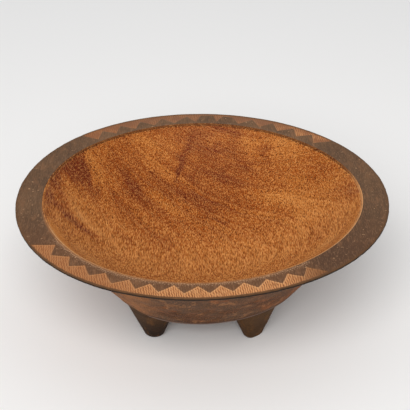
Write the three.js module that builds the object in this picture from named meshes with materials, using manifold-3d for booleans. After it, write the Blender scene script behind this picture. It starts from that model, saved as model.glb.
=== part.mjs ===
// Kava bowl carved from one block of hardwood: a round dish with a flat rim, a band of teeth cut into
// the rim at the front and at the back, and tapered legs that grow out of the wall's lower edge.
// The carving is one piece of wood, divided here at its natural borders: dish, rim and each leg.
// Millimetres, +Z up. The origin is on the floor under the middle of the rim, and -Y is the front.

import * as THREE from "three";
import { mergeVertices } from "three/addons/utils/BufferGeometryUtils.js";
import Module from "manifold-3d";

// Driving dimensions
const rimDiameter = 398.8;
const rimHeight = 135; // top of the rim above the floor
const rimWidthAtSides = 29.8; // from the well's edge to the rim's outer edge
const rimWidthAtFront = 30.3;
const rimWidthAtBack = 27;
const footShift = 3.4; // how far the foot of the bowl stands to the right of its rim
const bottomThickness = 23; // wood under the middle of the well
const bottomClearance = 28; // floor to the middle of the underside
const rimEdgeThickness = 3.4; // at the rim's outer edge
const rimRootThickness = 6.4; // where the wall meets the rim's underside
const rimOverhang = 24.4; // rim's outer edge beyond the top of the wall
const edgeRounding = 0.9; // worn corners of the rim's outer edge
const lowerEdgeDiameter = 202.4; // crisp edge between the wall and the underside
const lowerEdgeHeight = 38.8; // that edge above the floor
const wallHollow = 1.2; // how far the wall bends in, halfway up, from a straight line
const legSpacingAcross = 104.8; // between the soles of the left and right legs
const legSpacingDeep = 118.8; // between the soles of the front and back legs, on average
const soleDiameter = 19.4;
const soleRounding = 4.2; // worn edge of each sole
const legTaper = THREE.MathUtils.degToRad(21.5); // side of a leg from its own centre line
const legFaceSlope = THREE.MathUtils.degToRad(20); // shaved outer face of a leg from the upright
const legRootRise = 22; // how far the legs' wood runs up beside the wall above the lower edge
const toothDepth = 0.6; // how far the tooth bands are cut into the rim's top face
const toothPitch = THREE.MathUtils.degToRad(7.7); // from one tooth to the next, round the rim
const toothInset = 21.8; // points of the light teeth from the rim's outer edge
const toothGap = 8.2; // points of the dark teeth from the rim's outer edge
const toothMargin = 2.5; // flat wood left between the tooth bands and the rim's outer edge
const seam = 0.3; // gap that divides the dish from the rim and from the legs

// Waves that take the bowl off a true circle, as the adze and knife left it: lobes round the bowl,
// size of a lobe at the rim and at the foot, and the angle of one lobe from the front, towards +X
const handCutWaves = [
  { lobes: 2, atRim: 1.3, atFoot: 0, towards: THREE.MathUtils.degToRad(-25) },
  { lobes: 3, atRim: 1.5, atFoot: 2.2, towards: THREE.MathUtils.degToRad(-38) },
  { lobes: 4, atRim: 0.4, atFoot: 0, towards: THREE.MathUtils.degToRad(-38) },
];

// The bands, by the angle of their middle from the front, towards +X, and their number of teeth
const toothBands = [
  { middle: THREE.MathUtils.degToRad(-10.3), teeth: 13 },
  { middle: THREE.MathUtils.degToRad(177.4), teeth: 12 },
];

// The two ways a leg was cut: how far its outer face stands out from the wall's lower edge, the lean
// of its centre line, outwards going up, and how far its sole is nearer the middle, front to back
const proudCut = { standOut: 2.2, lean: THREE.MathUtils.degToRad(4.5), inset: 2.6 };
const flushCut = { standOut: -0.6, lean: THREE.MathUtils.degToRad(-2), inset: -2.6 };

// Places of the legs, as signs of x and y
const legPlaces = [
  { name: "leg_front_left", x: -1, y: -1, cut: proudCut },
  { name: "leg_front_right", x: 1, y: -1, cut: flushCut },
  { name: "leg_back_left", x: -1, y: 1, cut: flushCut },
  { name: "leg_back_right", x: 1, y: 1, cut: proudCut },
];

// Fineness of the facets
const roundFacets = 120; // round the bowl
const legFacets = 28; // round a leg
const wellSteps = 14; // from the well's edge to its middle
const wallSteps = 8; // up the wall
const undersideSteps = 6; // across the underside
const cornerSteps = 3; // round a worn corner

// Derived sizes
const rimRadius = rimDiameter / 2;
const wellAcross = rimDiameter - 2 * rimWidthAtSides;
const wellDeep = rimDiameter - rimWidthAtFront - rimWidthAtBack;
const wellSetBack = (rimWidthAtFront - rimWidthAtBack) / 2;
const wellRadius = (wellAcross + wellDeep) / 4;
const wellDepth = rimHeight - bottomClearance - bottomThickness;
const wellCurve = (wellRadius ** 2 + wellDepth ** 2) / (2 * wellDepth); // radius of the well's arc
const lowerEdgeRadius = lowerEdgeDiameter / 2;
const wallTopRadius = rimRadius - rimOverhang;
const wallTopHeight = rimHeight - rimRootThickness - seam;
const clearOfWood = 10; // how far the cutting shapes run past the wood

const wasm = await Module();
wasm.setup();

/** Point of a profile: distance from the turning axis, and height. */
const at = (radius, height) => new THREE.Vector2(radius, height);

/** Turns a profile round the upright axis; angle 0 is the front (-Y) and angles grow towards +X. */
function turned(profile, facets) {
  return new THREE.LatheGeometry(profile, facets).rotateX(Math.PI / 2);
}

/** Closed geometry as a solid that can be cut and joined. */
function toSolid(geometry) {
  const bare = geometry.clone();
  bare.deleteAttribute("normal");
  bare.deleteAttribute("uv");
  const merged = mergeVertices(bare);
  const mesh = new wasm.Mesh({
    numProp: 3,
    vertProperties: new Float32Array(merged.attributes.position.array),
    triVerts: new Uint32Array(merged.index.array),
  });
  mesh.merge();
  return new wasm.Manifold(mesh);
}

/** Solid back as a geometry with flat facets. */
function toGeometry(solid) {
  const { vertProperties, triVerts } = solid.getMesh();
  const geometry = new THREE.BufferGeometry();
  geometry.setAttribute("position", new THREE.BufferAttribute(vertProperties, 3));
  geometry.setIndex(new THREE.BufferAttribute(triVerts, 1));
  geometry.computeVertexNormals();
  return geometry;
}

/** Arc of a circle in a profile, from one angle to another, both ends included. */
function arc(centre, radius, from, to, steps) {
  return Array.from({ length: steps + 1 }, (_, i) => {
    const angle = from + ((to - from) * i) / steps;
    return at(centre.x + radius * Math.cos(angle), centre.y + radius * Math.sin(angle));
  });
}

/** Outside of the dish from the middle of the underside, past the lower edge, to the top of the wall. */
function outerProfile() {
  const points = [];
  for (let i = 0; i <= undersideSteps; i++) {
    const t = i / undersideSteps;
    points.push(at(lowerEdgeRadius * t, bottomClearance + (lowerEdgeHeight - bottomClearance) * t * t));
  }
  for (let i = 1; i <= wallSteps; i++) {
    const t = i / wallSteps;
    const straight = lowerEdgeRadius + (wallTopRadius - lowerEdgeRadius) * t;
    const height = lowerEdgeHeight + (wallTopHeight - lowerEdgeHeight) * t;
    points.push(at(straight - 4 * wallHollow * t * (1 - t), height));
  }
  return points;
}

/** The same outside moved out by a gap, square to itself. */
function grownProfile(points, gap) {
  return points.map((point, i) => {
    const before = points[Math.max(i - 1, 0)];
    const after = points[Math.min(i + 1, points.length - 1)];
    const along = after.clone().sub(before).normalize();
    const radius = i === 0 ? 0 : point.x + along.y * gap;
    return at(radius, point.y - along.x * gap);
  });
}

/** Hollow of the well: a round cap under the rim's top face, with straight sides above it. */
function wellSolid() {
  const centreHeight = rimHeight - wellDepth + wellCurve;
  const edgeAngle = Math.asin((rimHeight - centreHeight) / wellCurve);
  const bowl = arc(at(0, centreHeight), wellCurve, -Math.PI / 2, edgeAngle, wellSteps);
  bowl[0].x = 0;
  const above = rimHeight + clearOfWood;
  const round = toSolid(turned([...bowl, at(wellRadius, above), at(0, above)], roundFacets));
  const oval = round.scale([wellAcross / 2 / wellRadius, wellDeep / 2 / wellRadius, 1]);
  return oval.translate([0, wellSetBack, 0]);
}

/** Dish: underside, wall and well, up to the seam under the rim. */
function dish(well) {
  const blank = turned([...outerProfile(), at(0, wallTopHeight)], roundFacets);
  return toGeometry(toSolid(blank).subtract(well));
}

/** Zigzag area of one tooth band, seen from above, with an arc along the rim's edge. */
function toothBandShape({ middle, teeth }) {
  const lightPoint = rimRadius - toothInset;
  const darkPoint = rimRadius - toothGap;
  const margin = rimRadius - toothMargin;
  const start = middle - (teeth * toothPitch) / 2;
  const place = (radius, angle, back) => at(radius * Math.sin(angle), back - radius * Math.cos(angle));
  const inner = [];
  for (let i = 0; i < teeth; i++) {
    inner.push(place(darkPoint, start + i * toothPitch, wellSetBack));
    inner.push(place(lightPoint, start + (i + 0.5) * toothPitch, wellSetBack));
  }
  inner.push(place(darkPoint, start + teeth * toothPitch, wellSetBack));
  const outer = [];
  for (let i = 2 * teeth; i >= 0; i--) outer.push(place(margin, start + (i / 2) * toothPitch, 0));
  return new THREE.Shape([...inner, ...outer].reverse());
}

/** Rim: a flat ring with a thin worn edge, cut by the well and by the tooth bands. */
function rim(well) {
  const under = rimHeight - rimRootThickness;
  const edgeBottom = rimHeight - rimEdgeThickness;
  const cornerX = rimRadius - edgeRounding;
  const profile = [
    at(0, under),
    at(wallTopRadius, under),
    ...arc(at(cornerX, edgeBottom + edgeRounding), edgeRounding, -Math.PI / 2, 0, cornerSteps),
    ...arc(at(cornerX, rimHeight - edgeRounding), edgeRounding, 0, Math.PI / 2, cornerSteps),
    at(0, rimHeight),
  ];
  let solid = toSolid(turned(profile, roundFacets)).subtract(well);
  for (const band of toothBands) {
    const depth = toothDepth + clearOfWood;
    const cut = new THREE.ExtrudeGeometry(toothBandShape(band), { depth, bevelEnabled: false });
    cut.translate(0, 0, rimHeight - toothDepth);
    solid = solid.subtract(toSolid(cut));
  }
  return toGeometry(solid);
}

/** Wood that the legs may not enter: the dish with the seam round it. */
function dishWithSeam() {
  const grown = grownProfile(outerProfile(), seam);
  const top = grown[grown.length - 1].y;
  return toSolid(turned([...grown, at(0, top)], roundFacets));
}

/** Turned shape whose side is the shaved outer face of the legs, standing out from the lower edge. */
function legFaceSolid(standOut) {
  const edgeRadius = lowerEdgeRadius + standOut;
  const faceAt = (height) => at(edgeRadius + (height - lowerEdgeHeight) * Math.tan(legFaceSlope), height);
  const low = -clearOfWood;
  const high = lowerEdgeHeight + legRootRise + clearOfWood;
  return toSolid(turned([at(0, low), faceAt(low), faceAt(high), at(0, high)], roundFacets));
}

/** Leg: a tapered peg that leans outwards on a worn flat sole, shaved outside and fitted under the dish. */
function leg({ x, y, cut }, keepOut) {
  const top = lowerEdgeHeight + legRootRise;
  const soleRadius = soleDiameter / 2;
  const cornerEnd = Math.PI / 2 - legTaper;
  const centre = at(soleRadius - soleRounding * Math.tan(cornerEnd / 2), soleRounding);
  const corner = arc(centre, soleRounding, -Math.PI / 2, -legTaper, cornerSteps);
  const profile = [at(0, 0), ...corner, at(soleRadius + top * Math.tan(legTaper), top), at(0, top)];
  const sole = new THREE.Vector2((x * legSpacingAcross) / 2, y * (legSpacingDeep / 2 - cut.inset));
  const lean = sole.clone().setLength(Math.tan(cut.lean));
  const leaning = new THREE.Matrix4().makeShear(0, 0, 0, 0, lean.x, lean.y);
  const peg = turned(profile, legFacets).applyMatrix4(leaning).translate(sole.x, sole.y, 0);
  return toGeometry(toSolid(peg).intersect(legFaceSolid(cut.standOut)).subtract(keepOut));
}

/** Takes a piece off the true turned form, as a hand-cut bowl is: uneven outline and shifted foot. */
function handCut(geometry) {
  const position = geometry.attributes.position;
  const wallHeight = rimHeight - lowerEdgeHeight;
  for (let i = 0; i < position.count; i++) {
    const [x, y, z] = [position.getX(i), position.getY(i), position.getZ(i)];
    const angle = Math.atan2(x, -y);
    const rise = THREE.MathUtils.clamp((z - lowerEdgeHeight) / wallHeight, 0, 1);
    let stretch = 1;
    for (const { lobes, atRim, atFoot, towards } of handCutWaves) {
      const share = (rise * atRim) / rimRadius + ((1 - rise) * atFoot) / lowerEdgeRadius;
      stretch += share * Math.cos(lobes * (angle - towards));
    }
    position.setXYZ(i, x * stretch + footShift * (1 - rise), y * stretch, z);
  }
  return geometry;
}

/** Wood stain or oil of a piece. */
function wood(color, roughness) {
  return new THREE.MeshStandardMaterial({ color, roughness, metalness: 0 });
}

/** Named piece of the carving. */
function piece(name, geometry, material) {
  const mesh = new THREE.Mesh(handCut(geometry), material);
  mesh.name = name;
  return mesh;
}

const oiledWood = wood(0xa5602f, 0.45);
const stainedWood = wood(0x6c523f, 0.6);
const darkWood = wood(0x46332a, 0.6);

const bowl = new THREE.Group();
const well = wellSolid();
const keepOut = dishWithSeam();
bowl.add(piece("dish", dish(well), oiledWood));
bowl.add(piece("rim", rim(well), stainedWood));
for (const place of legPlaces) bowl.add(piece(place.name, leg(place, keepOut), darkWood));

// The origin goes under the middle of the rim's outline
const middle = new THREE.Box3().setFromObject(bowl).getCenter(new THREE.Vector3());
for (const mesh of bowl.children) mesh.geometry.translate(-middle.x, -middle.y, 0);

export default bowl;
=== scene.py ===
import math
import bpy
import numpy as np
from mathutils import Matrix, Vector


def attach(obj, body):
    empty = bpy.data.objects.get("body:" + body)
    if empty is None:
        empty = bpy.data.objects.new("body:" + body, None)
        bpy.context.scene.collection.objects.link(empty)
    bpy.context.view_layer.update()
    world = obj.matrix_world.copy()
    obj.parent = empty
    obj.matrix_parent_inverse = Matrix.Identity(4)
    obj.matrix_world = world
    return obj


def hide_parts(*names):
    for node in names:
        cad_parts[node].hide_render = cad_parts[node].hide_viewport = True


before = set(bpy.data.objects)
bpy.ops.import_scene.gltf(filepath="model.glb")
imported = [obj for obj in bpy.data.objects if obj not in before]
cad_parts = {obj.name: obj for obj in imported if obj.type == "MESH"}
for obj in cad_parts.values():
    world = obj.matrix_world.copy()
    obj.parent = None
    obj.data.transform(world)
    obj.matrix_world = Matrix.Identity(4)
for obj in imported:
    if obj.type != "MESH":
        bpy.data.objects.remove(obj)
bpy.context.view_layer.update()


# Dish: the body of the bowl, hollowed from the block with an adze and scraped smooth. The well is
# oiled, so its coarse open pores show. The outside is rubbed with a dark stain. The dish carries
# the rim, and its wall ends below in an edge that is worn pale.

RIM_RADIUS = 0.1994
RIM_HEIGHT = 0.135
WELL_ACROSS = 0.3392
WELL_DEEP = 0.3415
WELL_SET_BACK = 0.00165
WELL_DEPTH = 0.084
UNDERSIDE_MIDDLE = 0.028
LOWER_EDGE_RADIUS = 0.1012
LOWER_EDGE_HEIGHT = 0.0388
WALL_TOP_RADIUS = 0.175
WALL_TOP_HEIGHT = 0.1283
WALL_HOLLOW = 0.0012
ARRIS_RADIUS = 0.0011
FOOT_SHIFT = 0.0034
OUTLINE_MIDDLE = np.array([0.0014861, 0.0005779])
WELL_RADIUS = (WELL_ACROSS + WELL_DEEP) / 4
WELL_CURVE = (WELL_RADIUS ** 2 + WELL_DEPTH ** 2) / (2 * WELL_DEPTH)

# Waves round the bowl: lobes, size at the rim and at the foot, and the angle of a lobe. The well's
# edge has waves of its own: lobes, size and angle.
HAND_CUT_WAVES = ((2, 0.0013, 0.0, -25), (3, 0.0015, 0.0022, -38), (4, 0.0004, 0.0, -38))
WELL_WAVES = ((3, 0.0008, -7), (4, 0.0008, -4), (5, 0.0005, 27))

# Marks of the wood in the well, in millimetres: middle, half length, half width, turn from +X in
# degrees, and how much paler (above 0) or darker and redder (below 0) the wood is there
WOOD_MARKS = (
    (-137, 87, 15, 10, -65, -0.9), (-125, 76, 15, 6, -60, -0.75), (-119, 94, 22, 7, -57, 0.4),
    (-83, 104, 24, 6, -49, -0.4), (-50, 75, 30, 6, -37, -0.12), (-48, 129, 26, 9, -30, 0.5),
    (-46, 90, 22, 6, -29, 0.5), (-12, 102, 32, 9, -25, -0.5), (-20, 150, 16, 5, -124, -0.35),
    (-26, 131, 10, 2.4, -113, -1.5), (-165, 13, 16, 6, -66, -0.6), (-135, 1, 26, 7, -12, -1.1),
    (-158, 44, 44, 7, -72, -0.55), (-148, 74, 26, 8, -50, -0.75),
    (-93, 7, 40, 16, -39, 0.15), (82, 136, 26, 10, -26, 0.4), (129, 92, 34, 11, -52, -0.45),
    (72, 136, 11, 5, -62, -0.6), (50, 128, 14, 6, -48, -0.35), (24, 127, 28, 9, -33, -0.38),
    (15, 74, 16, 2.6, -26, -0.55), (163, 25, 26, 5, -76, -0.45), (164, 2, 10, 3, 60, 0.5),
    (156, 44, 20, 9, -66, -0.2), (97, 47, 10, 4, -59, -0.45), (-60, 150, 24, 8, -13, 0.5),
    (28, 148, 26, 5, -12, -0.35), (118, -6, 34, 16, -75, -0.1), (40, 18, 70, 24, 5, 0.12),
    (-34, 154, 16, 8, -20, 0.3), (-128, 18, 18, 8, -35, 0.7), (-124, -62, 24, 12, -45, 0.6),
    (131, -40, 16, 12, 60, 0.55), (-132, 102, 11, 8, -60, -0.55), (18, 158, 14, 6, -10, 0.4),
    (52, 149, 14, 7, -20, 0.4), (-9, 129, 12, 8, -30, -0.35), (84, -12, 18, 11, 0, 0.3),
    (82, 88, 40, 10, -33, 0.4), (-20, 52, 18, 9, -35, 0.25), (112, 40, 14, 8, -60, 0.25),
)


def hand_cut(x, y, z):
    """Place of a point of the true turned form on the uneven, hand-cut bowl.

    Its distance from the axis grows by waves round the bowl: each is the cosine of its lobes times
    the angle, and its size goes from foot to rim in step with the rise above the lower edge. The
    foot shifts to the right. Last, the middle of the rim's outline goes to the origin.
    """
    angle = np.arctan2(x, -y)
    rise = np.clip((z - LOWER_EDGE_HEIGHT) / (RIM_HEIGHT - LOWER_EDGE_HEIGHT), 0, 1)
    stretch = 1 + sum((rise * at_rim / RIM_RADIUS + (1 - rise) * at_foot / LOWER_EDGE_RADIUS)
                      * np.cos(lobes * (angle - math.radians(towards)))
                      for lobes, at_rim, at_foot, towards in HAND_CUT_WAVES)
    return np.stack([x * stretch + FOOT_SHIFT * (1 - rise) - OUTLINE_MIDDLE[0],
                     y * stretch - OUTLINE_MIDDLE[1], z], -1)


def oval(radius, angle, share):
    """x and y of points at a radius and angle, pushed by a share of the way to the well's own oval.

    The well is wider front to back than across and set back, and its edge wanders in waves.
    """
    wave = sum(size * np.cos(lobes * (angle - math.radians(towards))) for lobes, size, towards in WELL_WAVES)
    push = 1 + share * wave / WELL_RADIUS
    x = radius * push * (1 + share * (WELL_ACROSS / 2 / WELL_RADIUS - 1)) * np.sin(angle)
    y = -radius * push * (1 + share * (WELL_DEEP / 2 / WELL_RADIUS - 1)) * np.cos(angle)
    return x, y + share * WELL_SET_BACK


def unevenness(points, size, seed, squash=(1, 1, 1)):
    """Smooth random heights, about -1 to 1: the sum of cosines along seeded random directions.

    Their wavelengths lie round the given size in metres. squash divides it along each axis.
    """
    waves = 26
    rng = np.random.default_rng(seed)
    ways = rng.normal(size=(waves, 3))
    ways /= np.linalg.norm(ways, axis=1)[:, None]
    ways *= (2 * math.pi / size) * rng.uniform(0.6, 1.5, (waves, 1)) * np.array(squash)
    starts = rng.uniform(0, 2 * math.pi, waves)
    total = np.zeros(points.shape[:-1])
    for way, start in zip(ways, starts):
        total += np.cos(points @ way + start)
    return total * math.sqrt(2 / waves) * 0.6


def step(low, high, value):
    """Soft step from 0 to 1 between two limits: three squares less two cubes."""
    share = np.clip((value - low) / (high - low), 0, 1)
    return share * share * (3 - 2 * share)


def wood_tone(points):
    """Sum of the wood marks at points: each fades as exp(-(distance along)^2 - (distance across)^2)."""
    tone = np.zeros(points.shape[:-1])
    wander = 0.003 * np.stack([unevenness(points, 0.02, 5), unevenness(points, 0.02, 6)], -1)
    for x, y, length, width, turn, change in WOOD_MARKS:
        away = (points[..., :2] + wander) * 1000 - np.array([x, y])
        way = np.array([math.cos(math.radians(turn)), math.sin(math.radians(turn))])
        along = away @ way / length
        across = away @ np.array([-way[1], way[0]]) / width
        tone += change * np.exp(-along ** 2 - across ** 2)
    return tone


def outward_normals(grid):
    """Unit normals of a grid that closes round its columns: cross product of its two differences."""
    around = np.roll(grid, -1, 1) - np.roll(grid, 1, 1)
    normal = np.cross(around, np.gradient(grid, axis=0))
    return normal / np.maximum(np.linalg.norm(normal, axis=-1, keepdims=True), 1e-12)


def grid_mesh(name, grid, marks, ring_rows=False, slots=None):
    """Closed mesh of a grid of points: rows follow the profile and columns go round.

    The first and last rows are poles, unless the rows close to a ring too. marks holds named values
    for every point, and slots the material number of every row of faces.
    """
    rows, columns = grid.shape[:2]
    number = np.arange(rows * columns).reshape(rows, columns)
    points = grid.reshape(-1, 3)
    if not ring_rows:
        number = number - columns + 1
        number[0] = 0
        number[-1] = (rows - 2) * columns + 1
        points = np.concatenate([grid[0, :1], grid[1:-1].reshape(-1, 3), grid[-1, :1]])
    upper = np.roll(number, -1, 0) if ring_rows else number[1:]
    lower = number if ring_rows else number[:-1]
    quads = np.stack([lower, np.roll(lower, -1, 1), np.roll(upper, -1, 1), upper], -1)
    faces = quads.reshape(-1, 4).tolist()
    if not ring_rows:
        faces[:columns] = quads[0][:, [0, 2, 3]].tolist()
        faces[-columns:] = quads[-1][:, [0, 1, 2]].tolist()
    mesh = bpy.data.meshes.new(name)
    mesh.from_pydata(points.tolist(), [], faces)
    for mark_name, values in marks.items():
        values = np.broadcast_to(values, (rows, columns))
        flat = values.reshape(-1) if ring_rows else np.concatenate(
            [values[0, :1], values[1:-1].reshape(-1), values[-1, :1]])
        layer = mesh.attributes.new(mark_name, "FLOAT", "POINT")
        layer.data.foreach_set("value", flat.astype(np.float32))
    if slots is not None:
        mesh.polygons.foreach_set("material_index", np.repeat(slots, columns).astype(np.int32))
    mesh.polygons.foreach_set("use_smooth", np.ones(len(faces), dtype=bool))
    mesh.update()
    piece = bpy.data.objects.new(name, mesh)
    bpy.context.scene.collection.objects.link(piece)
    return piece


class Wire:
    """One output socket of a material's nodes, used in sums written as plain Python."""

    def __init__(self, socket):
        self.socket = socket
        self.tree = socket.id_data

    @staticmethod
    def node(tree, kind, settings=None, sockets=None, out=0):
        """Add a node: its settings first, then the values or links of its sockets.

        Its output of the given number or name comes back, unless the node has none.
        """
        made = tree.nodes.new(kind)
        for key, value in (settings or {}).items():
            if key == "stops":
                ramp = made.color_ramp
                for _ in value[2:]:
                    ramp.elements.new(0.5)
                for element, (position, colour) in zip(ramp.elements, value):
                    element.position = position
                    element.color = colour
            else:
                setattr(made, key, value)
        for key, value in (sockets or {}).items():
            if isinstance(value, Wire):
                tree.links.new(value.socket, made.inputs[key])
            else:
                made.inputs[key].default_value = value
        return Wire(made.outputs[out]) if len(made.outputs) else None

    def sum(self, operation, first, second):
        """Two values, this one among them, put through a Math node."""
        return Wire.node(self.tree, "ShaderNodeMath", {"operation": operation}, {0: first, 1: second})

    def __add__(self, other):
        return self.sum("ADD", self, other)

    def __radd__(self, other):
        return self.sum("ADD", other, self)

    def __sub__(self, other):
        return self.sum("SUBTRACT", self, other)

    def __rsub__(self, other):
        return self.sum("SUBTRACT", other, self)

    def __mul__(self, other):
        return self.sum("MULTIPLY", self, other)

    def __rmul__(self, other):
        return self.sum("MULTIPLY", other, self)

    def __or__(self, other):
        return self.sum("MAXIMUM", self, other)

    def __ror__(self, other):
        return self.sum("MAXIMUM", other, self)

    def step(self, low, high, start=0.0, end=1.0):
        """Soft step from start to end as this value goes from low to high."""
        return Wire.node(self.tree, "ShaderNodeMapRange", {"interpolation_type": "SMOOTHSTEP"},
                         {"Value": self, "From Min": low, "From Max": high,
                          "To Min": start, "To Max": end})

    def between(self, first, second):
        """Colour that goes from the first to the second as this value goes from 0 to 1."""
        factor, first_colour, second_colour, mixed = 0, 6, 7, 2
        return Wire.node(self.tree, "ShaderNodeMix", {"data_type": "RGBA"},
                         {factor: self, first_colour: first, second_colour: second}, mixed)

    def part(self, axis):
        """One of this vector's numbers: 0 to the right, 1 to the back, 2 upwards."""
        return Wire.node(self.tree, "ShaderNodeSeparateXYZ", None, {0: self}, axis)

    def length(self):
        """Length of this vector."""
        return Wire.node(self.tree, "ShaderNodeVectorMath", {"operation": "LENGTH"}, {0: self}, "Value")

    def scaled(self, across, along, upward):
        """This vector with each of its numbers multiplied."""
        return Wire.node(self.tree, "ShaderNodeVectorMath", {"operation": "MULTIPLY"},
                         {0: self, 1: (across, along, upward)})

    def moved(self, other):
        """This vector with another one added."""
        return Wire.node(self.tree, "ShaderNodeVectorMath", {"operation": "ADD"}, {0: self, 1: other})

    def noise(self, scale, detail=2.0, roughness=0.5, distortion=0.0, out=0):
        """Cloudy noise at this place: a value from 0 to 1, or a colour from the second output."""
        return Wire.node(self.tree, "ShaderNodeTexNoise", None,
                         {"Vector": self, "Scale": scale, "Detail": detail, "Roughness": roughness,
                          "Distortion": distortion}, out)


def paint(red, green, blue):
    """Colour of a material from the three 0 to 255 numbers of a screen colour.

    Each is taken back through the screen's curve, a power of 2.4 with a straight line near black.
    """
    return tuple(((c / 255 + 0.055) / 1.055) ** 2.4 if c > 10 else c / 255 / 12.92
                 for c in (red, green, blue)) + (1.0,)


def new_material(name):
    """Empty material, its node tree, and its place input: the point in the bowl's own metres."""
    material = bpy.data.materials.new(name)
    material.use_nodes = True
    tree = material.node_tree
    tree.nodes.clear()
    return material, tree, Wire.node(tree, "ShaderNodeTexCoord", None, None, "Object")


def mark(tree, name):
    """Value kept on the mesh's points under a name."""
    return Wire.node(tree, "ShaderNodeAttribute", {"attribute_name": name}, None, "Fac")


def finish_material(tree, colour, roughness, height, bump_depth, gloss):
    """Join colour, roughness and a height for the bump to the surface."""
    bump = Wire.node(tree, "ShaderNodeBump", None,
                     {"Strength": 1.0, "Distance": bump_depth, "Height": height})
    surface = Wire.node(tree, "ShaderNodeBsdfPrincipled", None,
                        {"Base Color": colour, "Roughness": roughness, "Normal": bump,
                         "Specular IOR Level": gloss})
    Wire.node(tree, "ShaderNodeOutputMaterial", None, {"Surface": surface})


def grain(tree, place):
    """The block's grain, from fibres that run front to back: layers, pores, flecks and cloud.

    layers are growth layers: broad noise and sharper fine noise along the distance from a pith line,
    which lies above the bowl and to the right. pores come from small cells and flecks from fine
    noise. Both are drawn out along the fibres, so that they show as dots where those are cut across.
    cloud is a broad change of tone.
    """
    from_pith_line = (-0.05, 0.0, -0.264)
    warp = place.noise(9.0, 2.0, out=1).moved((-0.5, -0.5, -0.5)).scaled(0.015, 0.02, 0.015)
    from_pith = place.moved(warp).moved(from_pith_line).scaled(1.0, 0.12, 1.0).length()
    layers = Wire.node(tree, "ShaderNodeTexNoise", {"noise_dimensions": "1D"},
                       {"W": from_pith, "Scale": 190.0, "Detail": 3.0, "Roughness": 0.65})
    fine_layers = Wire.node(tree, "ShaderNodeTexNoise", {"noise_dimensions": "1D"},
                            {"W": from_pith, "Scale": 640.0, "Detail": 1.0})
    fibres = place.moved(warp.scaled(0.12, 0.12, 0.12)).scaled(1.0, 0.15, 1.0)
    cells = Wire.node(tree, "ShaderNodeTexVoronoi", None, {"Vector": fibres, "Scale": 840.0}, "Distance")
    pores = 0.5 + (0.40 - cells) * 0.6 + (fine_layers - 0.5) * 0.30
    flecks = fibres.moved((0.31, 0.17, 0.23)).noise(1180.0, 1.0, 0.5) - (fine_layers - 0.5) * 0.20
    cloud = place.noise(17.0, 3.0, 0.6)
    return layers + (fine_layers.step(0.34, 0.66) - 0.5) * 0.42, pores, flecks, cloud


UNDERSIDE, LOWER_EDGE, WALL, HIDDEN, ARRIS, WELL = range(6)


def dish_profile_rows():
    """Profile of the dish as radius and height, with each row's zone, from the underside to the well.

    The underside is a parabola, the wall a line bent in by a parabola, the arris between rim and
    well a circle's arc, and the well a wider circle's arc down to its middle. The lower edge is two
    points a little apart, and the hidden part is wood inside the rim.
    """
    s = np.linspace(0, 0.995, 24)
    under = np.stack([LOWER_EDGE_RADIUS * s,
                      UNDERSIDE_MIDDLE + (LOWER_EDGE_HEIGHT - UNDERSIDE_MIDDLE) * s * s], -1)
    edge = np.array([LOWER_EDGE_RADIUS, LOWER_EDGE_HEIGHT]) + np.array([[-0.0002, 0.0], [0.0, 0.0002]])
    t = np.concatenate([np.linspace(0.004, 0.052, 13), np.linspace(0.075, 1, 44)])
    wall = np.stack([LOWER_EDGE_RADIUS + (WALL_TOP_RADIUS - LOWER_EDGE_RADIUS) * t
                     - 4 * WALL_HOLLOW * t * (1 - t),
                     LOWER_EDGE_HEIGHT + (WALL_TOP_HEIGHT + 0.0001 - LOWER_EDGE_HEIGHT) * t], -1)
    hidden = np.array([[WALL_TOP_RADIUS - 0.0004, 0.1292], [WELL_RADIUS + 0.0018, RIM_HEIGHT - 0.002]])
    turn = np.radians(np.linspace(90, -38, 7))
    arris = np.array([WELL_RADIUS + ARRIS_RADIUS, RIM_HEIGHT - 0.00125]) \
        + ARRIS_RADIUS * np.stack([-np.cos(turn), np.sin(turn)], -1)
    arris = np.concatenate([[[WELL_RADIUS + 0.0016, RIM_HEIGHT - 0.00016]], arris])
    sweep = np.linspace(1, 0, 112) ** 0.8 * math.asin(WELL_RADIUS / WELL_CURVE)
    well = np.stack([WELL_CURVE * np.sin(sweep),
                     RIM_HEIGHT - WELL_DEPTH + WELL_CURVE * (1 - np.cos(sweep))], -1)[2:]
    parts = {UNDERSIDE: under, LOWER_EDGE: edge, WALL: wall, HIDDEN: hidden, ARRIS: arris, WELL: well}
    rows = np.concatenate(list(parts.values()))
    return rows, np.repeat(list(parts), [len(part) for part in parts.values()])


dish_profile, dish_zone = dish_profile_rows()
dish_radius, dish_height = dish_profile[:, :1], dish_profile[:, 1:]
dish_angle = np.linspace(0, 2 * math.pi, 480, endpoint=False)
outside = (dish_zone < HIDDEN)[:, None]
on_arris = (dish_zone == ARRIS)[:, None]
in_well = (dish_zone == WELL)[:, None]
dish_x, dish_y = oval(dish_radius, dish_angle, np.where(outside, 0.0, 1.0))
dish_points = hand_cut(dish_x, dish_y, np.broadcast_to(dish_height, dish_x.shape))

# The tools' traces: shallow scraped hollows in the well and short hewn facets outside
below_rim = RIM_HEIGHT - dish_height
above_edge = dish_height - LOWER_EDGE_HEIGHT
away_from_edges = step(0.0, 0.012, below_rim) \
    * step(0.0, 0.006, np.abs(dish_height - WALL_TOP_HEIGHT)) \
    * step(0.0, 0.003, np.hypot(dish_radius - LOWER_EDGE_RADIUS, above_edge))
scraped = 0.00030 * unevenness(dish_points, 0.055, 11) + 0.00010 * unevenness(dish_points, 0.020, 12)
hewn = 0.00035 * unevenness(dish_points, 0.030, 13, (1, 1, 1.6)) \
    + 0.00014 * unevenness(dish_points, 0.010, 14, (0.5, 0.5, 1.8))
relief = away_from_edges * np.where(in_well, scraped, np.where(outside, hewn, 0))
dish_points = dish_points + outward_normals(dish_points) * relief[..., None]
dish_points[0] = dish_points[0].mean(0)
dish_points[-1] = dish_points[-1].mean(0)

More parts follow.
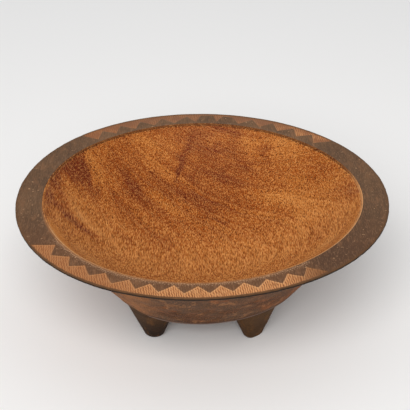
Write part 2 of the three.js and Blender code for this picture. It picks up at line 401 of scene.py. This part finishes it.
# Where the finish changes, by the distance below the rim and by the turn from the front in degrees,
# above 0 to the right: pale arris, smoothly scraped side, stain run over at the back, tone of the
# wood with painted shade at the middle of the back and on the top of the left side and painted
# light on the right side, worn lower edge and the dark line above it
dish_turn = np.degrees(np.arctan2(dish_x, -dish_y))
arris_here = np.maximum(step(-78, -60, dish_turn) * step(0, -20, dish_turn),
                        0.8 * step(5, 30, dish_turn) * step(115, 90, dish_turn))
arris_pale = np.where(on_arris, 1.0, np.where(in_well, np.exp(-below_rim / 0.0008), 0)) \
    * np.maximum(arris_here, 0.4 * step(60, 20, np.abs(dish_turn)))
smooth_side = np.where(in_well, step(0.021, 0.008, below_rim), 0) \
    * np.maximum(step(-80, -66, dish_turn) * step(-18, -36, dish_turn),
                 0.30 * step(30, 50, dish_turn) * step(100, 80, dish_turn))
back_stain = np.where(in_well, 0.62 * np.exp(-(below_rim / 0.0030) ** 2), 0) + np.where(on_arris, 1.1, 0)
back_stain = back_stain * step(84, 120, np.abs(dish_turn))
to_right, to_back = dish_points[..., 0], dish_points[..., 1]
# Painted shade darkens the middle of the well's back and darkens and reddens the top of its left side;
# painted light makes its right side a little paler.
painted_back_shade = step(-0.02, 0.09, to_back) * step(-0.16, -0.08, to_right) * step(0.13, 0.03, to_right)
painted_left_wall_shade = np.exp(-(below_rim / 0.008) ** 2) * step(-128, -108, dish_turn) * step(-74, -86, dish_turn)
wood_tone_and_painted_light = np.where(in_well, wood_tone(dish_points) - 0.10 - 0.56 * painted_back_shade - 0.6 * painted_left_wall_shade
                      + 0.04 * step(0.06, 0.13, to_right), 0)
edge_worn = step(0.0030, 0.0024, above_edge) * step(0.094, 0.099, dish_radius)
edge_line = np.exp(-((above_edge - 0.0036) / 0.0008) ** 2) * outside
OILED_SLOT, DARK_SLOT = 0, 1
dish = grid_mesh("dish_hollowed", dish_points, {
    "tone": wood_tone_and_painted_light, "arris": arris_pale, "smooth": smooth_side,
    "stained": back_stain, "edge": edge_worn, "line": edge_line},
    slots=np.where(dish_zone[:-1] < ARRIS, DARK_SLOT, OILED_SLOT))

oiled, tree, place = new_material("oiled_hardwood")
layers, pores, flecks, cloud = grain(tree, place)
smooth = mark(tree, "smooth")
stained = mark(tree, "stained")
# The tone mark holds the wood's marks together with the painted shade and painted light.
tone = (layers - 0.5) * 0.36 + (cloud - 0.5) * 0.42 + mark(tree, "tone") * 0.46 + 0.51 + smooth * 0.36
wood_colour = Wire.node(tree, "ShaderNodeValToRGB", {"stops": [
    (0.0, paint(98, 32, 4)), (0.3, paint(144, 72, 17)), (0.5, paint(167, 97, 36)),
    (0.7, paint(191, 125, 64)), (1.0, paint(220, 163, 108))]}, {"Fac": tone})
ragged = stained + (place.noise(300.0, 4.0, 0.7) - 0.5) * 2.2
wood_colour = (ragged.step(0.35, 0.75) * 0.8).between(wood_colour, paint(78, 42, 20))
crisp = 1.0 - smooth * 0.75
at_back = place.part(1).step(-0.01, 0.09)
dark_dots = pores.step(0.50, 0.60) * crisp * tone.step(0.95, 0.60, 0.3, 1.0)
pale_dots = flecks.step(0.50, 0.60) * crisp * (1.0 - stained * 0.5) * tone.step(0.02, 0.42, 0.6, 1.0)
drawn_out = place.scaled(1.0, 0.09, 0.6).noise(1150.0, 1.0, 0.5)
streaked = 0.45 - at_back * 0.45
colour = (pale_dots * (0.66 - at_back * 0.12)).between(wood_colour, paint(229, 161, 90))
colour = (dark_dots * (0.55 + at_back * 0.4)).between(colour, paint(78, 27, 3))
colour = (drawn_out.step(0.50, 0.58) * crisp * streaked).between(colour, paint(216, 142, 80))
colour = (drawn_out.step(0.48, 0.40) * crisp * streaked).between(colour, paint(112, 50, 16))
band = drawn_out.step(0.35, 0.65).between(paint(190, 112, 42), paint(216, 140, 64))
colour = (smooth * 0.8).between(colour, band)
colour = (mark(tree, "arris") * 0.75).between(colour, paint(218, 164, 112))
finish_material(tree, colour, roughness=0.55 + dark_dots * 0.2, height=pale_dots * 0.25 - dark_dots,
                bump_depth=0.00015, gloss=0.12)

dark, tree, place = new_material("dark_stained_wood")
layers, pores, flecks, cloud = grain(tree, place)
rubbed = place.scaled(1.0, 1.0, 1.3).noise(34.0, 4.0, 0.6)
scuffs = place.scaled(1.1, 1.0, 0.9).moved((0.7, 0.2, 0.1)).noise(105.0, 5.0, 0.7, 0.6)
greyed = place.moved((0.4, 0.9, 0.3)).noise(19.0, 4.0, 0.65)
left_end = place.part(0).step(-0.035, -0.075)
stain = ((cloud - 0.5) * 1.8 + (layers - 0.5) * 0.6 + 0.5).between(paint(46, 26, 14), paint(102, 62, 34))
colour = (rubbed.step(0.51, 0.60) * 0.6).between(stain, paint(140, 78, 38))
colour = (greyed.step(0.50, 0.56) * 0.75).between(colour, paint(82, 62, 46))
colour = (left_end * (rubbed.step(0.40, 0.60) * 0.5 + 0.35)).between(colour, paint(154, 100, 58))
colour = (scuffs.step(0.55, 0.63) * 0.5).between(colour, paint(166, 114, 72))
colour = (flecks.step(0.52, 0.60) * 0.4).between(colour, paint(164, 108, 66))
colour = (pores.step(0.50, 0.60) * 0.7).between(colour, paint(36, 20, 10))
colour = (mark(tree, "edge") * 0.75).between(colour, paint(112, 92, 82))
colour = (mark(tree, "line") * 0.8).between(colour, paint(52, 32, 20))
finish_material(tree, colour, roughness=0.6 + rubbed * 0.15, height=flecks * 0.4 - pores + rubbed * 1.5,
                bump_depth=0.00015, gloss=0.12)

dish.data.materials.append(oiled)
dish.data.materials.append(dark)
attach(dish, "root")
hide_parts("dish")


# Rim: the flat ring left round the well when the dish was hollowed, dark-stained on top, with a
# thin edge. Two arcs of it are cut with a knife: a zigzag of teeth taken down to bare wood, each
# scored along the grain, and a scribed line of short dashes between the teeth and the well.

# Turns of the zigzag between dark and bare wood, in degrees from the front and in millimetres from
# the rim's axis, for the front band and the back band
ZIGZAGS = (
    ((-60.2, 199), (-59.9, 197), (-56.2, 177.2), (-51.7, 191.3), (-47.2, 179), (-43.2, 191.2),
     (-39.7, 179.9), (-35.1, 191.3), (-31.6, 179.2), (-27.1, 192.2), (-23.1, 178.8), (-19.4, 192.2),
     (-16.1, 179.2), (-12.5, 191.7), (-8.5, 176.7), (-5, 190.3), (-1, 176.3), (2.5, 189.1), (6.1, 176.1),
     (9.4, 188.2), (13.6, 175.4), (17.1, 187.8), (21.1, 175.9), (24.7, 189.2), (28.7, 175.9),
     (32.2, 188.4), (36.2, 176.2), (39.4, 192.9), (39.9, 199)),
    ((131.3, 199), (131.5, 194), (134.5, 178.3), (138.8, 192.6), (142.5, 178.2), (146.5, 193),
     (150.5, 178.3), (154.5, 193.5), (158, 178.6), (162, 193.2), (166, 179), (169.2, 193.5),
     (172.4, 194.5), (174.4, 180), (175.8, 195.5), (180, 195.5), (182, 178.8), (185, 193.4),
     (190, 178.2), (193.8, 193), (197.5, 178.3),
     (201.5, 192.6), (205, 178), (209, 192.4), (213, 178.2), (216, 192), (221, 178), (223, 194),
     (223.3, 199)),
)
STROKE_PITCH = 0.0024
TICK_PITCH = 0.0017
TICK_RING = 0.197
DASH_PITCH = 0.0028
DASH_RING = 0.177
TOP_ROWS = 38
SEAM_RADIUS = WELL_RADIUS + 0.0013
EDGE_ROUNDING = 0.0009


def carve(x, y, from_edge, from_seam):
    """Knife work at points of the rim's top face: shares of bare wood, stroke, outline and dash.

    Wood outside the zigzag line is bare, up to a margin along the rim's edge that is ticked by a
    triangle wave. The strokes are a triangle wave across lines that run nearly front to back. The
    outline is a narrow band beside the zigzag. The dashes are a cut wave along a wandering ring
    beside the well, with a few chips on a second ring outside it.
    """
    radius = np.hypot(x, y)
    angle = np.degrees(np.arctan2(x, -y))
    bare, stroke, outline, dash = (np.zeros_like(x) for _ in range(4))
    for zigzag in ZIGZAGS:
        first, last = zigzag[0][0], zigzag[-1][0]
        turn = np.where(angle < first - 20, angle + 360, angle)
        here = (turn > first) & (turn < last)
        line = np.interp(turn, [a for a, _ in zigzag], [r / 1000 for _, r in zigzag])
        line = line + 0.00025 * np.sin(turn * 11.0) + 0.00015 * np.sin(turn * 27.0 + 1)
        ticks = np.abs((np.radians(turn) * TICK_RING + from_edge) / TICK_PITCH % 1 - 0.5) * 2
        margin = 0.0017 + 0.0010 * ticks + 0.0002 * np.sin(turn * 1.7)
        zone = step(-0.0003, 0.0003, radius - line) * step(-0.0003, 0.0003, from_edge - margin)
        bare = np.where(here, zone, bare)
        across = x + 0.12 * y + 0.0005 * np.sin(turn * 0.9) + 0.0003 * np.sin(turn * 2.3 + radius * 900)
        stroke = np.where(here, np.abs((across / STROKE_PITCH) % 1 - 0.5) * 2, stroke)
        outline = np.where(here, zone * np.exp(-((radius - line - 0.0008) / 0.0007) ** 2), outline)
        ends = step(0, 1.5, np.minimum(turn - first, last - turn))
        dash_turns = np.radians(turn) * DASH_RING / DASH_PITCH * 2 * math.pi
        cuts = step(0.0, 0.6, np.sin(dash_turns + 2 * np.sin(turn * 0.7)))
        line_cut = np.exp(-((from_seam - 0.0021 - 0.0005 * np.sin(turn * 1.3)) / 0.00060) ** 2)
        chips = step(0.2, 0.7, np.sin(turn * 7.7 + 3 * np.sin(turn * 0.9))) \
            * np.exp(-((from_seam - 0.0044 - 0.0007 * np.sin(turn * 2.1)) / 0.00060) ** 2) * (1 - zone)
        dash = np.where(here, ends * np.maximum((0.25 + 0.75 * cuts) * line_cut, 0.7 * chips), dash)
    return bare, stroke, outline, dash


def rim_angles():
    """Angles round the rim: 0.5 mm apart where teeth are cut and 2.2 mm apart between."""
    runs = [(-60.4, 40.1, 0.5), (40.1, 131.1, 2.2), (131.1, 223.5, 0.5), (223.5, 299.6, 2.2)]
    parts = [np.linspace(a, b, round(math.radians(b - a) * RIM_RADIUS / (pitch / 1000)), endpoint=False)
             for a, b, pitch in runs]
    return np.radians(np.concatenate(parts))


def rim_profile_rows():
    """Profile of the rim as a closed loop, with the numbers of the edge's first and last rows.

    It goes under the rim from the wall out in a line, round the edge in two arcs, over the flat top
    to the seam with the well, and back through the wood of the dish in two last rows.
    """
    corner = RIM_RADIUS - 0.0010
    foot = np.radians([-90, -60, -30, 0])
    lower = np.stack([corner + EDGE_ROUNDING * np.cos(foot), 0.1325 + EDGE_ROUNDING * np.sin(foot)], -1)
    turn = np.radians([15, 30, 45, 60, 75, 90])
    upper = np.stack([corner + EDGE_ROUNDING * np.cos(turn),
                      RIM_HEIGHT - 0.0010 + EDGE_ROUNDING * np.sin(turn)], -1)
    root = np.array([WALL_TOP_RADIUS - 0.0006, 0.12845])
    under = root + (lower[0] - root) * np.linspace(0, 1, 9)[:-1, None]
    share = np.linspace(0, 1, TOP_ROWS + 1)[1:]
    flat = np.stack([corner + (SEAM_RADIUS - corner) * share, np.full(TOP_ROWS, RIM_HEIGHT - 0.0001)], -1)
    inside = np.array([[SEAM_RADIUS + 0.0009, RIM_HEIGHT - 0.0016], [WALL_TOP_RADIUS - 0.0005, 0.1290]])
    rows = np.concatenate([under, lower, upper, flat, inside])
    return rows, len(under), len(under) + len(lower) + len(upper) - 1


rim_profile, edge_first, edge_last = rim_profile_rows()
rim_angle = rim_angles()
share_of_well = np.clip((RIM_RADIUS - rim_profile[:, :1]) / (RIM_RADIUS - WELL_RADIUS), 0, 1)
rim_x, rim_y = oval(rim_profile[:, :1], rim_angle, share_of_well)
rim_level = np.broadcast_to(rim_profile[:, 1:], rim_x.shape)
flat_place = hand_cut(rim_x, rim_y, rim_level)
seam_row = -3
on_top = np.zeros((len(rim_profile), 1))
on_top[edge_last - 3:seam_row + 1] = 1
on_edge = np.zeros((len(rim_profile), 1))
on_edge[edge_first:edge_last] = 1
about_axis = flat_place[..., :2] + OUTLINE_MIDDLE
distance = np.hypot(about_axis[..., 0], about_axis[..., 1])
from_edge = distance.max(0) - distance
from_seam = distance - distance[seam_row]
bare, stroke, outline, dash = (on_top * share for share in carve(
    about_axis[..., 0], about_axis[..., 1], from_edge, from_seam))

# The cuts go down into the top face, away from the seam, and the edge is nibbled by wear
face_wave = 0.00012 * unevenness(flat_place, 0.040, 21) - 0.00014
cut = 0.00045 * bare + 0.00022 * bare * (1 - stroke) + 0.00005 * (1 - bare) * (1 - stroke)
rim_height = rim_level + on_top * (step(0.0, 0.005, from_seam) * (face_wave - cut) - 0.0003 * dash)
nibbled = -0.0002 + 0.00014 * unevenness(flat_place, 0.012, 22) + 0.00007 * unevenness(flat_place, 0.004, 23)
pull = 1 + on_edge * nibbled / RIM_RADIUS
rim_points = hand_cut(rim_x * pull, rim_y * pull, rim_height)

# Where the finish changes: the edge, worn brown above and with painted shade on its lower part,
# the border of the top face beside it, and the strip along the well at the front, where the stain
# is rubbed through
brink = np.zeros((len(rim_profile), 1))
brink_rows = slice(edge_first, edge_last - 2)
brink[brink_rows] = np.interp(rim_profile[brink_rows, 1:], (0.1335, 0.1345), (1.0, 0.5))
border = on_top * np.exp(-(from_edge / 0.0024) ** 2)
strip = on_top * np.exp(-(from_seam / 0.0016) ** 2) \
    * step(0.0, -0.05, flat_place[..., 1]) * step(0.095, 0.060, flat_place[..., 0])
rim = grid_mesh("rim_carved", rim_points, {
    "bare": bare, "stroke": stroke, "outline": outline, "dash": dash, "brink": brink, "border": border,
    "strip": strip}, ring_rows=True)

rim_wood, tree, place = new_material("stained_rim_wood")
layers, pores, flecks, cloud = grain(tree, place)
to_right, to_back = place.part(0), place.part(1)
in_front = to_back.step(-0.02, -0.12)
left_end = to_right.step(-0.02, -0.10)
right_end = to_right.step(0.075, 0.125)
rubbed = place.scaled(1.0, 0.35, 1.0).noise(140.0, 4.0, 0.6)
stain = ((cloud - 0.5) * 1.8 + (layers - 0.5) * 0.7 + 0.5).between(paint(80, 56, 36), paint(122, 89, 60))
stain = (in_front * 0.55).between(stain, paint(108, 66, 36))
stain = (in_front * right_end * 0.55).between(stain, paint(64, 42, 27))
stain = (rubbed.step(0.50, 0.70) * 0.5).between(stain, paint(142, 98, 66))
stain = (pores.step(0.50, 0.66) * 0.35).between(stain, paint(70, 48, 32))
specks = place.noise(270.0, 2.0, 0.6).step(0.67, 0.72)
stain = (specks * 0.75).between(stain, paint(196, 152, 112))
scratches = place.scaled(1.0, 0.3, 1.0).noise(300.0, 3.0, 0.7, 1.0).step(0.60, 0.70)
stain = (scratches * 0.3).between(stain, paint(168, 124, 90))
groove = 1.0 - mark(tree, "stroke").step(0.20, 0.70)
stain = (groove * 0.25).between(stain, paint(64, 44, 30))
stain = (flecks.step(0.56, 0.64) * 0.25).between(stain, paint(150, 112, 82))
knife = groove.between(paint(206, 142, 88), paint(142, 84, 44))
knife = (flecks.step(0.50, 0.62) * 0.35).between(knife, paint(222, 166, 114))
knife = (pores.step(0.50, 0.62) * 0.45).between(knife, paint(104, 58, 28))
knife = (mark(tree, "outline") * 0.6).between(knife, paint(220, 168, 118))
knife = (left_end * 0.5).between(knife, paint(134, 78, 40))
knife = (in_front * right_end * 0.85).between(knife, paint(106, 66, 36))
faded = place.moved((0.0, 0.2, 0.0)).noise(60.0, 3.0).step(0.40, 0.60) * 0.45 + 0.35
knife = (to_back.step(-0.02, 0.12) * faded).between(knife, paint(132, 84, 54))
knife = (to_back.step(0.150, 0.185) * 0.6).between(knife, paint(122, 84, 60))
colour = mark(tree, "bare").between(stain, knife)
colour = (mark(tree, "strip") * 0.6).between(colour, paint(178, 116, 66))
dashes = mark(tree, "dash") * to_back.step(0.12, -0.05, 0.15, 0.8)
colour = dashes.between(colour, paint(200, 158, 122))
colour = (mark(tree, "border") * 0.75).between(colour, paint(92, 61, 33))
# The edge is worn brown above, and its lower part is painted near black as painted shade under the rim.
worn_edge = (rubbed * 2.0 - 0.5).between(paint(66, 43, 23), paint(104, 69, 38))
from_top = mark(tree, "brink")
edge_colour = from_top.step(0.5, 1.0).between(worn_edge, paint(20, 13, 7))
colour = from_top.step(0.0, 0.5).between(colour, edge_colour)
finish_material(tree, colour, roughness=0.6 + rubbed * 0.12, height=flecks * 0.3 - pores,
                bump_depth=0.00012, gloss=0.2)
rim.data.materials.append(rim_wood)
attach(rim, "root")
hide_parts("rim")


# Legs: four short tapered legs left standing under the dish, cut from the same block. Each has a
# worn flat sole and an outer face shaved in line with the wall. Two stand a little proud of the
# lower edge and lean outwards, and two are set back under it. They are darker than the wall, the
# left ones most, and each has a painted shade line just under the dish's lower edge.

LEG_SPACING = (0.1048, 0.1188)
SOLE_RADIUS = 0.0097
SOLE_ROUNDING = 0.0042
LEG_TAPER = math.radians(21.5)
LEG_FACE_SLOPE = math.radians(20)
LEG_TOP = 0.050


def leg_grid(sign_x, sign_y, stand_out, lean, inset, seed):
    """Leg as rings carried up a leaning line, from the sole's middle to a point inside the dish.

    Each ring's radius is the softened smaller of the tapered cone's and of the way out to the shaved
    face, which is a cone round the bowl's own axis. A circle's arc rounds the sole's edge.
    """
    around = np.linspace(0, 2 * math.pi, 144, endpoint=False)
    bend = math.pi / 2 - LEG_TAPER
    arc = np.linspace(0, bend, 10)
    arc_radius = SOLE_RADIUS - SOLE_ROUNDING * math.tan(bend / 2) + SOLE_ROUNDING * np.sin(arc)
    arc_height = SOLE_ROUNDING * (1 - np.cos(arc))
    side = np.linspace(arc_height[-1], LEG_TOP, 80)[1:]
    cone = np.concatenate([arc_radius, SOLE_RADIUS + side * math.tan(LEG_TAPER)])
    height = np.concatenate([arc_height, side])
    sole = np.array([sign_x * LEG_SPACING[0] / 2, sign_y * (LEG_SPACING[1] / 2 - inset)])
    centre = sole + height[:, None] * sole / np.linalg.norm(sole) * math.tan(math.radians(lean))
    face = LOWER_EDGE_RADIUS + stand_out + (height - LOWER_EDGE_HEIGHT) * math.tan(LEG_FACE_SLOPE)
    way_x, way_y = np.sin(around), -np.cos(around)
    along = centre[:, :1] * way_x + centre[:, 1:] * way_y
    reach = np.sqrt(along ** 2 + (face ** 2 - (centre ** 2).sum(1))[:, None]) - along
    soft = 0.0010
    radius = -soft * np.logaddexp(-cone[:, None] / soft, -reach / soft)
    radius = np.concatenate([radius[:1] * np.array([[0], [0.35], [0.7]]), radius,
                             radius[-1:] * np.array([[0.5], [0]])])
    height, centre = np.pad(height, (3, 2), "edge"), np.pad(centre, ((3, 2), (0, 0)), "edge")
    grid = hand_cut(centre[:, :1] + radius * way_x, centre[:, 1:] + radius * way_y,
                    np.broadcast_to(height[:, None], radius.shape))
    trim = 0.0003 * unevenness(grid, 0.020, seed, (1, 1, 0.6)) + 0.00008 * unevenness(grid, 0.006, seed + 1)
    strength = step(0.0, 0.012, height) * step(LEG_TOP, LEG_TOP - 0.004, height)
    grid = grid + outward_normals(grid) * (trim * strength[:, None])[..., None]
    grid[0] = grid[0].mean(0)
    grid[-1] = grid[-1].mean(0)
    return grid, height


leg_wood, tree, place = new_material("dark_leg_wood")
layers, pores, flecks, cloud = grain(tree, place)
rubbed = place.scaled(2.0, 2.0, 0.6).noise(70.0, 4.0, 0.62)
# The left legs are coloured darker than the right ones.
right_side = place.part(0).step(-0.03, 0.05)
base = right_side.between(paint(38, 25, 16), paint(74, 50, 25))
stain = ((cloud - 0.5) * 1.4 + (layers - 0.5) * 0.8 + 0.3).between(base, paint(64, 42, 26))
stain = (place.part(2).step(0.008, 0.040) * 0.45).between(stain, paint(96, 68, 44))
colour = (rubbed.step(0.50, 0.66) * 0.5).between(stain, paint(104, 68, 36))
colour = (pores.step(0.50, 0.62) * 0.5).between(colour, paint(30, 20, 12))
# Painted shade: a dark line on the leg just under the dish's lower edge.
colour = (mark(tree, "crease") * 0.85).between(colour, paint(40, 26, 16))
finish_material(tree, colour, roughness=0.6 + rubbed * 0.15, height=flecks * 0.4 - pores + rubbed,
                bump_depth=0.00015, gloss=0.12)

# How far the outer face stands out from the lower edge, the lean outwards in degrees, and how far
# the sole is set in from the front or the back
PROUD = (0.0022, 4.5, 0.0026)
FLUSH = (-0.0002, -2.0, -0.0026)
for node, sign_x, sign_y, cut, seed in (
        ("leg_front_left", -1, -1, PROUD, 31), ("leg_front_right", 1, -1, FLUSH, 33),
        ("leg_back_left", -1, 1, FLUSH, 35), ("leg_back_right", 1, 1, PROUD, 37)):
    points, height = leg_grid(sign_x, sign_y, *cut, seed)
    # Painted shade line on the leg where it meets the dish's lower edge
    crease = np.exp(-np.abs(height - LOWER_EDGE_HEIGHT + 0.0004) / 0.0007)[:, None]
    leg = grid_mesh(node + "_carved", points, {"crease": crease})
    leg.data.materials.append(leg_wood)
    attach(leg, "root")
    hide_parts(node)


# Studio: a pale sheet on the floor, one very broad soft lamp in front, an even pale surround, and
# the camera at the photograph's place.

FLOOR_REACH = 9
LAMP_SIZE = 5.4
LAMP_POWER = 612
LAMP_PLACE = (-1.0, -6.4, 5.4)
LAMP_AIM = (0, 0, 0.05)
SURROUND_LIGHT = 0.52
SURROUND_SHOWN = 0.80

floor_mesh = bpy.data.meshes.new("studio_floor")
floor_corners = [(-FLOOR_REACH, -FLOOR_REACH, 0), (FLOOR_REACH, -FLOOR_REACH, 0),
                 (FLOOR_REACH, FLOOR_REACH, 0), (-FLOOR_REACH, FLOOR_REACH, 0)]
floor_mesh.from_pydata(floor_corners, [], [(0, 1, 2, 3)])
floor = bpy.data.objects.new("studio_floor", floor_mesh)
bpy.context.scene.collection.objects.link(floor)
paper, tree, place = new_material("pale_paper")
# Painted light: the sheet is painted paler near the bowl and greyer further out.
colour = place.length().step(0.1, 1.3).between(paint(245, 244, 243), paint(232, 232, 232))
finish_material(tree, colour, roughness=0.9, height=place.noise(900.0, 2.0), bump_depth=0.00002, gloss=0.1)
floor.data.materials.append(paper)

world = bpy.data.worlds.new("pale_surround")
bpy.context.scene.world = world
world.use_nodes = True
surround = world.node_tree
surround.nodes.clear()
seen = Wire.node(surround, "ShaderNodeLightPath", None, None, "Is Camera Ray")
glossy = Wire.node(surround, "ShaderNodeLightPath", None, None, "Is Glossy Ray")
through = Wire.node(surround, "ShaderNodeLightPath", None, None, "Is Transmission Ray")
light = Wire.node(surround, "ShaderNodeBackground", None,
                  {"Color": (1.0, 1.0, 1.0, 1.0), "Strength": SURROUND_LIGHT})
shown = Wire.node(surround, "ShaderNodeBackground", None,
                  {"Color": (SURROUND_SHOWN, SURROUND_SHOWN, SURROUND_SHOWN, 1.0), "Strength": 1.0})
both = Wire.node(surround, "ShaderNodeMixShader", None, {0: seen | glossy | through, 1: light, 2: shown})
Wire.node(surround, "ShaderNodeOutputWorld", None, {"Surface": both})

lamp_data = bpy.data.lights.new("soft_front", "AREA")
lamp_data.shape = "SQUARE"
lamp_data.size = LAMP_SIZE
lamp_data.energy = LAMP_POWER
lamp = bpy.data.objects.new("soft_front", lamp_data)
lamp.location = LAMP_PLACE
lamp.rotation_euler = (Vector(LAMP_AIM) - lamp.location).to_track_quat("-Z", "Y").to_euler()
bpy.context.scene.collection.objects.link(lamp)

# The camera looks down on the middle of the rim's outline from the front. Its height per metre of
# way is the flatness of the rim's ellipse, and its aim lies a few pixels to the right and below.
CAMERA_DISTANCE = 1.70
CAMERA_RISE = 0.488
CAMERA_LEVEL = math.sqrt(1 - CAMERA_RISE ** 2)
SENSOR_WIDTH = 36
FRAME_PIXELS = 410
PIXELS_PER_RADIAN = 1593.9
AIM_RIGHT, AIM_UP = 3.9, -9.2
rim_middle = Vector((-0.00149, 0.00129, RIM_HEIGHT))
camera_data = bpy.data.cameras.new("camera")
camera = bpy.data.objects.new("camera", camera_data)
camera_data.sensor_width = SENSOR_WIDTH
camera_data.lens = SENSOR_WIDTH * PIXELS_PER_RADIAN / FRAME_PIXELS
camera_data.clip_start = 0.05
camera_data.clip_end = 60
camera.location = rim_middle + CAMERA_DISTANCE * Vector((0, -CAMERA_LEVEL, CAMERA_RISE))
aim_in_pixels = Vector((AIM_RIGHT, AIM_UP * CAMERA_RISE, AIM_UP * CAMERA_LEVEL))
aim = rim_middle + CAMERA_DISTANCE / PIXELS_PER_RADIAN * aim_in_pixels
camera.rotation_euler = (aim - camera.location).to_track_quat("-Z", "Y").to_euler()
bpy.context.scene.collection.objects.link(camera)
bpy.context.scene.camera = camera
bpy.context.scene.view_settings.view_transform = "Standard"
